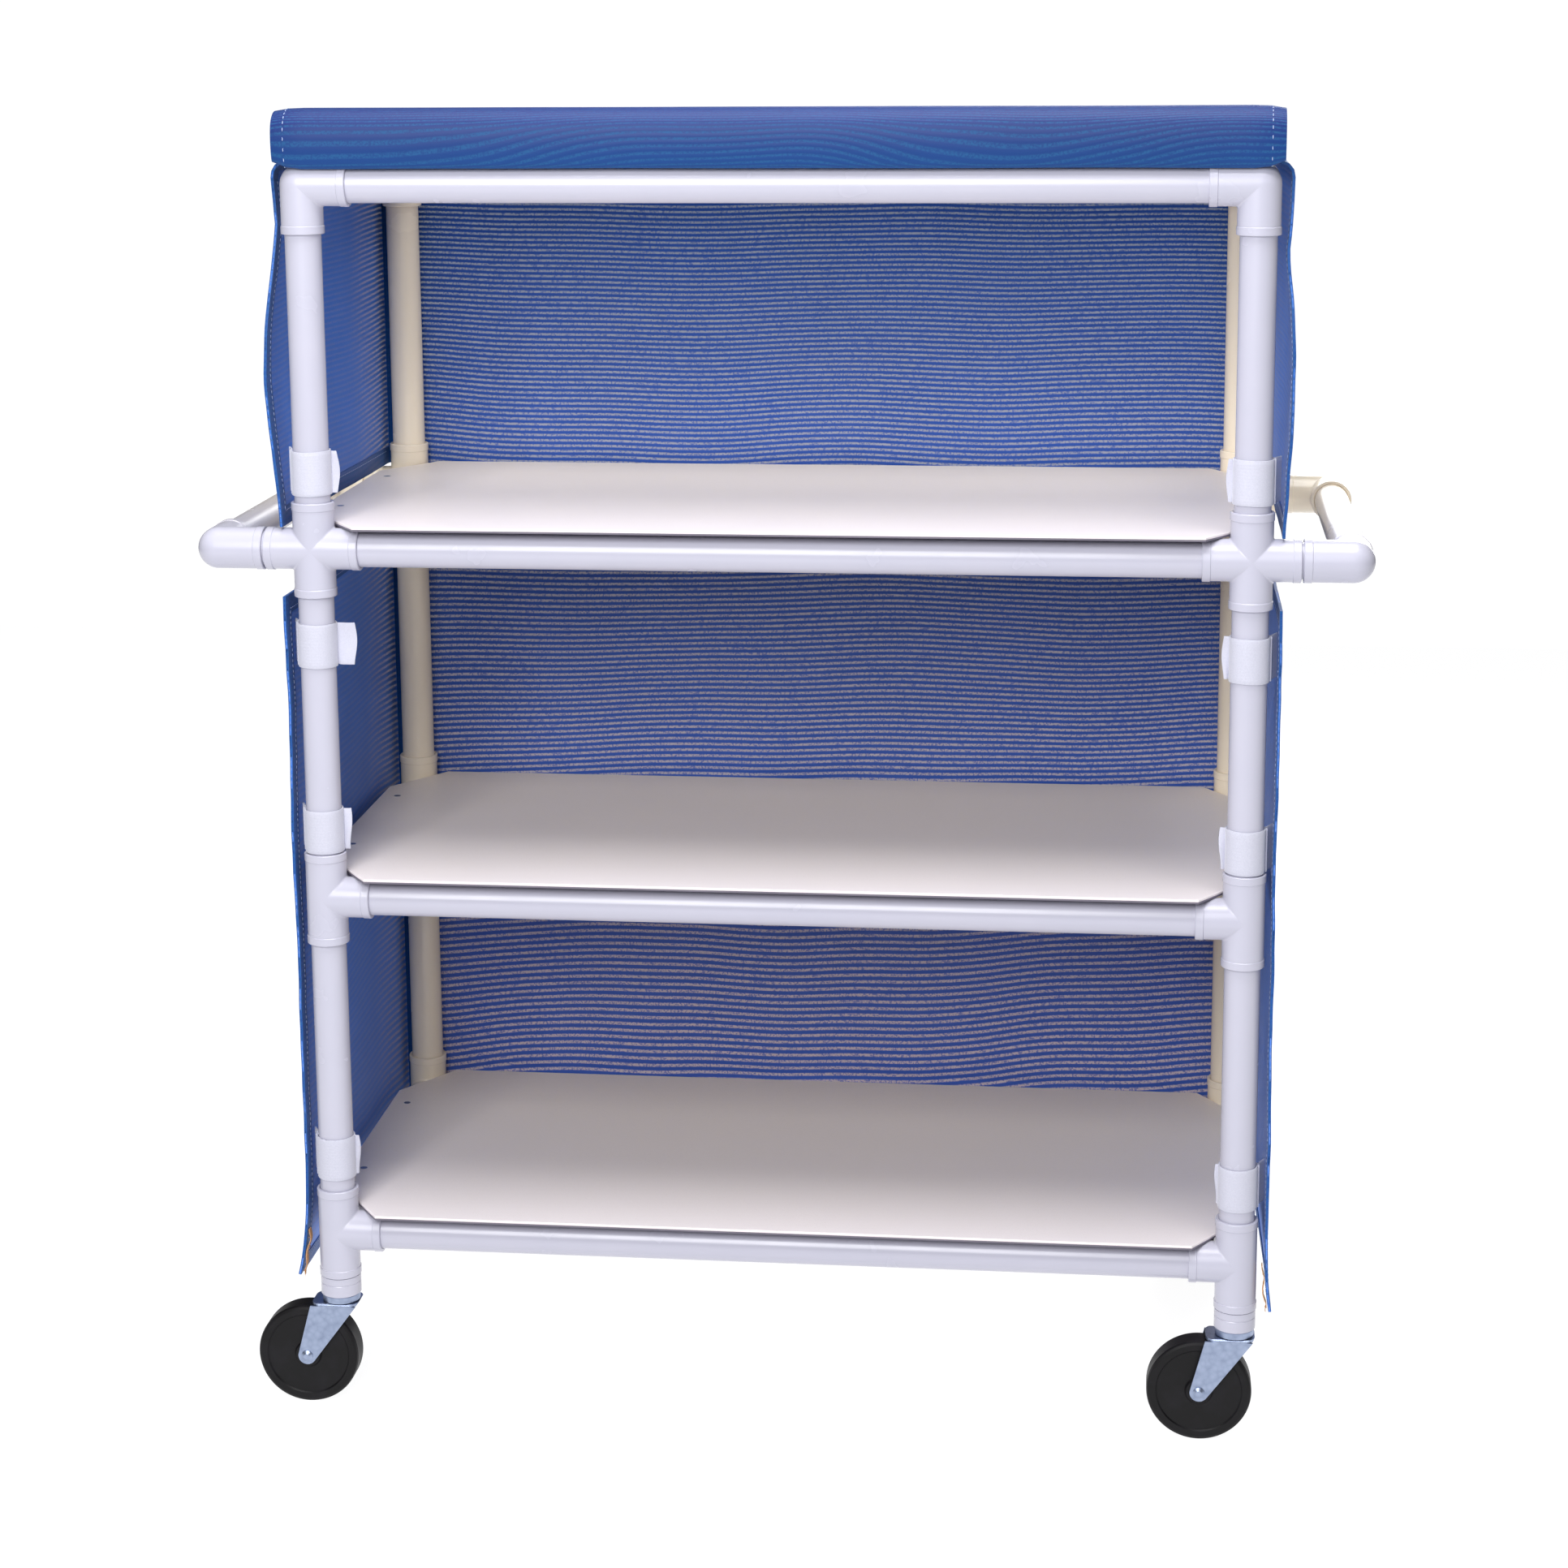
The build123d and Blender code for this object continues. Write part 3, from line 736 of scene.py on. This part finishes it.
def hemSeams():
    inset = hood["hem"] - stitch["fromEdge"]
    roundEnd = hood["corner"]
    seams = []
    for sx in (-1, 1):
        out = Vector((sx, 0, 0))
        x = sx * hoodX
        front = hoodFront + inset
        back = hoodBack - roundEnd
        for z0, z1 in ((hoodBottom + inset, slotBottom - inset), (slotTop + inset, hoodTop - roundEnd)):
            seams.append((Vector((x, front, z0)), Vector((x, front, z1)), out))
        for z in (hoodBottom + inset, slotBottom - inset, slotTop + inset):
            seams.append((Vector((x, front, z)), Vector((x, back, z)), out))
    wide = hoodX - roundEnd
    foot = hoodBottom + inset
    seams.append((Vector((-wide, hoodBack, foot)), Vector((wide, hoodBack, foot)), Vector((0, 1, 0))))
    return seams


def makeCover():
    block = makeHood()
    back = meshCloth("see-through blue mesh", mesh["backTop"], mesh["backFoot"],
                     (mesh["gapFoot"], mesh["gapTop"]), "Z", 0.3)
    sides = meshCloth("blue mesh side", mesh["sideTop"], mesh["sideFoot"], (mesh["gapFoot"],) * 2, "Z", 0.35,
                      ribsFrom=(0.10, 0.26), sharp=0.8)
    top = meshCloth("blue mesh top", mesh["backTop"], mesh["backTop"], (mesh["gapTop"],) * 2,
                    "Y", 0.9, sheer=0.45, rib=mesh["rib"]["top"])
    hemCloth = meshCloth("folded blue mesh", mesh["hemTop"], mesh["hemFoot"], (mesh["rollGap"],) * 2, "Z",
                         0.0, sharp=0.25)

    hems = copyOf(block, "cover_hems")
    dropFaces(hems, lambda place, face: not inHem(place))
    hung(hems, hood["hemCloth"])
    dress(hems, hemCloth)

    welts = copyOf(block, "cover_corner_welts")
    dropFaces(welts, lambda place, face: max(map(abs, face.normal)) > 0.9)
    hung(welts, hood["weltCloth"])
    dress(welts, hemCloth)

    one = stitchTemplate()
    places = []
    for start, end, outward in hemSeams():
        places += stitchesAlong(start, end, outward)
    stitches = copiesAt(one, places, "cover_stitches")
    bpy.data.objects.remove(one)
    dress(stitches, makeThread())

    height = hoodTop - hoodBottom
    depth = hoodBack - hoodFront
    panels = [
        ("mesh_back_panel", "cover_back", onBackPanel, back, (2 * hoodX, height), "hung"),
        ("mesh_top_panel", "cover_top", onTopPanel, top, (2 * hoodX, depth), "stretched"),
    ]
    for side in ("left", "right"):
        for part, tall in (("upper", hoodTop - slotTop), ("lower", slotBottom - hoodBottom)):
            panels.append((f"mesh_side_panel_{side}_{part}", f"cover_side_{side}_{part}",
                           lambda place, side=side, part=part: onSidePanel(place, side, part),
                           sides, (depth, tall), "hung"))
    for name, node, belongs, cloth, flat, held in panels:
        panel = copyOf(block, name)
        dropFaces(panel, lambda place, face: not belongs(place))
        hung(panel, hood["cloth"])
        dress(panel, cloth)
        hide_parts(node)
    bpy.data.objects.remove(block)


makeCover()
print("cover hung")


# the front flap, rolled up and lying on the front edge of the top

rollLow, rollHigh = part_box("front_flap_roll")
rollHalf = (rollHigh.x - rollLow.x) / 2
rollRadius = (rollHigh.z - rollLow.z) / 2
rollY = (rollLow.y + rollHigh.y) / 2
rollZ = (rollLow.z + rollHigh.z) / 2

flap = {
    "drop": 1.375,          # the flap's length when it hangs closed
    "core": 5.5 * mm,       # radius left open at the middle of the roll
    "cloth": 1.2 * mm,
    "apron": 12 * mm,       # run from the roll to the front edge of the top
    "turns": 12.5,          # only for how finely the sheet is divided
    "rowsPerTurn": 34,
    "columns": 46,
    "crowding": 0.35,       # share of the columns' spacing that narrows towards the ends
    "lumps": 0.016,         # share of the radius
    "endTaper": 3.4 * mm,
    "endReach": 13 * mm,
    "hem": 15 * mm,
    "rib": 2.7,             # mm, the ribs read finer where the cloth is wound
    "lean": 15 * mm,        # how far the roll leans out over the front edge
    "droop": 25 * mm,       # how far its front sinks below that edge
    "droopRun": {"out": 12 * mm, "down": 40 * mm},
    "droopTop": 14 * mm,    # above the middle of the roll, where the droop starts
}
wound = flap["drop"] - flap["apron"]


def rollUp(x, unrolled):
    # a point of the flat flap, unrolled metres from its free edge, after rolling
    outer = rollRadius - flap["cloth"] / 2
    pitch = math.pi * (outer ** 2 - flap["core"] ** 2) / wound
    turned = (math.sqrt(flap["core"] ** 2 + pitch * min(unrolled, wound) / math.pi) - flap["core"]) / pitch
    full = (outer - flap["core"]) / pitch
    radius = flap["core"] + pitch * turned
    radius *= 1 + flap["lumps"] * noise.noise(Vector((x * 5.5, turned * 0.23, 3.7)))
    inside = rollHalf - abs(x)
    radius -= flap["endTaper"] * math.exp(-(inside / flap["endReach"]) ** 2) * (radius / outer)
    angle = -math.pi / 2 + 2 * math.pi * (full - turned)
    y = rollY + radius * math.cos(angle) - flap["lean"]
    lowest = rollLow.z + flap["cloth"] * 0.7
    if unrolled > wound:
        return Vector((x, y - (unrolled - wound), lowest))
    z = max(rollZ + radius * math.sin(angle) - 0.5 * mm, lowest)
    past = below(y, hoodFront - 1 * mm, flap["droopRun"]["out"])
    z -= flap["droop"] * past * below(z, rollZ + flap["droopTop"], flap["droopRun"]["down"])
    return Vector((x, y, z))


def flapSeams():
    # a seam round the outer turn near each end of the roll
    places = []
    turnLength = 2 * math.pi * rollRadius
    for end in (-1, 1):
        x = end * (rollHalf - flap["hem"])
        axis = Vector((x, rollY - flap["lean"], rollZ))
        for i in range(int(turnLength * 0.93 / stitch["pitch"])):
            unrolled = wound - turnLength + (i + 0.5) * stitch["pitch"]
            middle = rollUp(x, unrolled)
            ahead = (rollUp(x, unrolled + 2 * mm) - rollUp(x, unrolled - 2 * mm)).normalized()
            up = Vector((1, 0, 0)).cross(ahead).normalized()
            if up.dot(middle - axis) < 0:
                up = -up
            point = middle + up * (flap["cloth"] / 2 + 0.2 * mm)
            places.append(Matrix.Translation(point) @ facing(ahead, up))
    return places


def makeRoll():
    rows = round(flap["rowsPerTurn"] * flap["turns"])
    deselectAll()
    bpy.ops.mesh.primitive_grid_add(x_subdivisions=flap["columns"], y_subdivisions=rows, size=1)
    sheet = bpy.context.object
    sheet.name = "rolled_front_flap"
    for corner in sheet.data.uv_layers.active.data:
        corner.uv = (corner.uv[0] * 2 * rollHalf, corner.uv[1] * flap["drop"])
    crowding = flap["crowding"]
    for vertex in sheet.data.vertices:
        # columns crowd towards the two ends, where the roll is rounded off
        share = vertex.co.x * 2
        x = rollHalf * math.sin(share * math.pi / 2) * crowding + rollHalf * share * (1 - crowding)
        vertex.co = rollUp(x, (vertex.co.y + 0.5) * flap["drop"])
    applied(sheet, "SOLIDIFY", thickness=flap["cloth"], offset=0)
    smoothed(sheet, 60)
    cloth = meshCloth("rolled blue mesh", mesh["rollTop"], mesh["rollFront"], (mesh["rollGap"],) * 2,
                      "UV", 0.0, sharp=0.35, span=(rollLow.z - 4 * mm, rollHigh.z), rib=flap["rib"])
    dress(sheet, cloth)
    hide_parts("front_flap_roll")

    one = stitchTemplate()
    stitches = copiesAt(one, flapSeams(), "flap_stitches")
    bpy.data.objects.remove(one)
    dress(stitches, makeThread())


makeRoll()
print("flap rolled")


# hook-and-loop straps round the front posts

webbing = {
    "colour": "#d2d2e0",
    "shade": "#bcbdce",
    "width": 52 * mm,
    "cloth": 1.8 * mm,
    "fit": 0.4 * mm,
    "weave": 1.5,           # mm between the ribs of the webbing
    "sewnBack": 24 * mm,    # how far behind the post's axis a strap is sewn to the side panel
    "lap": (310, 40),       # degrees round the post where the end climbs on its start, and the run of it
    "edgeWander": 0.8 * mm,
    "tucked": 3 * mm,       # how far a tail reaches back under the wrap
    "curl": 3.2 * mm,       # how far a tail curls forward
    "tailTwist": {"forward": 2.5 * mm, "inward": 1.6 * mm},
    "straps": (             # height of the middle, and how far the tail stands out on each side
        (1.160, {"left": 8.3 * mm, "right": 6.3 * mm}),
        (0.955, {"left": 22.3 * mm, "right": 7.3 * mm}),
        (0.729, {"left": 9.3 * mm, "right": 6.3 * mm}),
        (0.318, {"left": 5.3 * mm, "right": 3.3 * mm}),
    ),
}


def makeWebbing():
    # brushed nylon hook-and-loop tape: matt, bluish white, with a fine rib and fuzzy loops
    material, tree, surface, coords = newMaterial("white hook-and-loop tape", Roughness=0.85)
    surface.inputs["Sheen Weight"].default_value = 0.4
    fuzz = addNode(tree, "ShaderNodeTexNoise", {"Vector": coords, "Detail": 5.0,
                                                "Scale": 1 / (webbing["weave"] * mm)})
    colour = addNode(tree, "ShaderNodeMix", {0: fuzz, 6: linear(webbing["colour"]),
                                             7: linear(webbing["shade"])}, **colourMix)
    tree.links.new(colour, surface.inputs["Base Color"])
    ribs = addNode(tree, "ShaderNodeTexWave", {"Vector": coords, "Scale": 1 / (webbing["weave"] * 8 * mm),
                                               "Distortion": 0.6}, bands_direction="Z")
    height = addNode(tree, "ShaderNodeMath", {0: ribs, 1: fuzz}, operation="ADD")
    bump = addNode(tree, "ShaderNodeBump", {"Height": height, "Strength": 0.3, "Distance": 0.25 * mm})
    tree.links.new(bump, surface.inputs["Normal"])
    return material


def strapPath(post, sx, radius):
    # in plan: from the side panel round the front of the post and on until it laps its own start
    path = [Vector((sx * (hoodX - 1.6 * mm), post.y + webbing["sewnBack"])),
            Vector((post.x + sx * (radius + 1.5 * mm), post.y + webbing["sewnBack"] / 3))]
    lapStart, lapRun = webbing["lap"]
    for degrees in range(0, 361, 10):
        angle = math.radians(degrees)
        reach = radius + webbing["cloth"] * 1.1 * ease((degrees - lapStart) / lapRun)
        path.append(Vector((post.x + sx * reach * math.cos(angle), post.y - reach * math.sin(angle))))
    return path


def ribbon(name, path, low, high, thickness, rows=9):
    # a strip of cloth standing on edge along a path in plan, cut into rows to bend at
    curve = bpy.data.curves.new(name, "CURVE")
    curve.dimensions = "2D"
    curve.fill_mode = "NONE"
    curve.extrude = (high - low) / 2
    spline = curve.splines.new("POLY")
    spline.points.add(len(path) - 1)
    for point, place in zip(spline.points, path):
        point.co = (place.x, place.y, 0, 1)
    strip = bpy.data.objects.new(name, curve)
    bpy.context.collection.objects.link(strip)
    strip.location.z = (low + high) / 2
    activate(strip)
    bpy.ops.object.convert(target="MESH")
    strip = bpy.context.object
    placeInMesh(strip)
    bpy.ops.object.mode_set(mode="EDIT")
    for i in range(1, rows):
        bpy.ops.mesh.select_all(action="SELECT")
        bpy.ops.mesh.bisect(plane_co=(0, 0, low + (high - low) * i / rows), plane_no=(0, 0, 1))
    bpy.ops.object.mode_set(mode="OBJECT")
    applied(strip, "SOLIDIFY", thickness=thickness, offset=0)
    return strip


def strapTail(post, sx, tail, radius):
    # the loose end: leaves the wrap on the inboard side and curls a little
    start = post.x - sx * (radius - webbing["tucked"])
    reach = webbing["tucked"] + tail
    path = []
    for i in range(7):
        bend = webbing["curl"] * math.sin(i / 6 * 2.4)
        path.append(Vector((start - sx * reach * i / 6, post.y + 6 * mm - bend)))
    return path


def makeStraps():
    material = makeWebbing()
    twist = webbing["tailTwist"]
    strips = []
    for side, sx in (("left", -1), ("right", 1)):
        low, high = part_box(f"post_front_{side}")
        post = (low + high) / 2
        radius = (high.x - low.x) / 2 + webbing["fit"] + webbing["cloth"] / 2
        for height, tails in webbing["straps"]:
            foot, head = height - webbing["width"] / 2, height + webbing["width"] / 2
            wrap = ribbon("strap", strapPath(post, sx, radius), foot, head, webbing["cloth"])
            for vertex in wrap.data.vertices:
                lean = noise.noise(Vector((vertex.co.x * 40, vertex.co.y * 40, height * 9 + sx)))
                vertex.co.z += webbing["edgeWander"] * lean
            tail = ribbon("strap", strapTail(post, sx, tails[side], radius), foot + 1.5 * mm,
                          head - 1 * mm, webbing["cloth"])
            for vertex in tail.data.vertices:
                along = abs(vertex.co.x - post.x) - radius
                rise = (vertex.co.z - height) / webbing["width"]
                forward = math.sin(rise * 4 + height * 7) * ease(along / (6 * mm))
                inward = math.sin(rise * 5 + height * 31) * ease(along / (5 * mm))
                vertex.co.y += twist["forward"] * forward
                vertex.co.x += sx * twist["inward"] * inward
            strips += [wrap, tail]
    straps = joined(strips, "post_straps")
    applied(straps, "BEVEL", width=0.4 * mm, segments=2, limit_method="ANGLE")
    smoothed(straps, 35)
    dress(straps, material)
    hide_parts("cover_straps")


makeStraps()
print("straps wrapped")


# frayed closure tapes at the bottom front corners

tape = {
    "colour": "#e0b083",
    "shade": "#a9754a",
    "width": 9 * mm,
    "cloth": 1.1 * mm,
    "fromEdge": 5.5 * mm,   # from the front edge of the side panel to the middle of the tape
    "woven": 0.94,          # share of its height, the rest is fringe
    "narrowing": 0.35,      # share of its width, where it is drawn in
    "fray": 0.9 * mm,       # how ragged its edges are
    "sway": 2.5 * mm,
    "standOff": 1.4 * mm,   # from the inside of the hem
    "curl": 1.2 * mm,
    "fringe": 22,           # loose yarns on each tape
    "yarn": {"root": 0.45 * mm, "tip": 0.15 * mm, "length": 6 * mm, "unevenness": 5 * mm},
}
tapeLow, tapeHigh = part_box("closure_tapes")
tapeX = hoodX - hood["hemCloth"] / 2 - 1.0 * mm


def tapeBand(sx):
    # a wavy strip down the inside of the hem, narrower and looser towards its cut end
    deselectAll()
    bpy.ops.mesh.primitive_grid_add(x_subdivisions=5, y_subdivisions=30, size=1)
    band = bpy.context.object
    for vertex in band.data.vertices:
        down = 0.5 - vertex.co.y
        across = vertex.co.x * tape["width"] * (1 - tape["narrowing"] * down * math.sin(down * 9) ** 2)
        edge = tape["fray"] * noise.noise(Vector((down * 14, vertex.co.x * 3, sx)))
        y = tapeLow.y + tape["fromEdge"] + across + edge + tape["sway"] * math.sin(down * 7)
        z = tapeHigh.z - down * (tapeHigh.z - tapeLow.z) * tape["woven"]
        place = drape(Vector((sx * tapeX, y, z)))
        place.x -= sx * (tape["standOff"] + tape["curl"] * math.sin(down * 11 + sx))
        vertex.co = place
    applied(band, "SOLIDIFY", thickness=tape["cloth"], offset=0)
    return band


def looseYarn(sx, i):
    # two of three yarns hang from the cut end, the others stick out at the edges
    shape = tape["yarn"]
    deselectAll()
    bpy.ops.mesh.primitive_cone_add(vertices=5, radius1=shape["root"], radius2=shape["tip"], depth=1)
    yarn = bpy.context.object
    height = tapeHigh.z - tapeLow.z
    side = noise.noise(Vector((i * 1.7, sx, 0.3)))
    length = shape["length"] + shape["unevenness"] * noise.noise(Vector((i * 2.3, 4.4, sx)))
    if i % 3 != 0:
        y = tapeLow.y + tape["fromEdge"] + 6.5 * mm * side
        z = tapeLow.z + height * 0.07
        lean = 0.5 * side
    else:
        y = tapeLow.y + (1.2 if i % 2 else 10.0) * mm
        z = tapeLow.z + height * (0.2 + 0.7 * i / tape["fringe"])
        lean = 1.1 if i % 2 else -1.1
    yarn.scale = (1, 1, length)
    yarn.rotation_euler = (math.pi + lean, 0.3 * side, 0)
    yarn.location = drape(Vector((sx * tapeX, y, z))) + Vector((-sx * 1.6 * mm, 0, -length * 0.3))
    placeInMesh(yarn)
    return yarn


def makeTapes():
    # undyed cotton herringbone tape: tan, matt, with loose yarns at the cut end
    material, tree, surface, coords = newMaterial("tan cotton tape", Roughness=0.95)
    yarns = addNode(tree, "ShaderNodeTexNoise", {"Vector": coords, "Scale": 700.0, "Detail": 4.0})
    colour = addNode(tree, "ShaderNodeMix", {0: yarns, 6: linear(tape["shade"]),
                                             7: linear(tape["colour"])}, **colourMix)
    tree.links.new(colour, surface.inputs["Base Color"])
    bump = addNode(tree, "ShaderNodeBump", {"Height": yarns, "Strength": 0.6, "Distance": 0.4 * mm})
    tree.links.new(bump, surface.inputs["Normal"])

    parts = []
    for sx in (-1, 1):
        parts.append(tapeBand(sx))
        parts += [looseYarn(sx, i) for i in range(tape["fringe"])]
    tapes = joined(parts, "frayed_tapes")
    smoothed(tapes, 50)
    dress(tapes, material)
    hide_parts("closure_tapes")


makeTapes()
print("tapes sewn on")
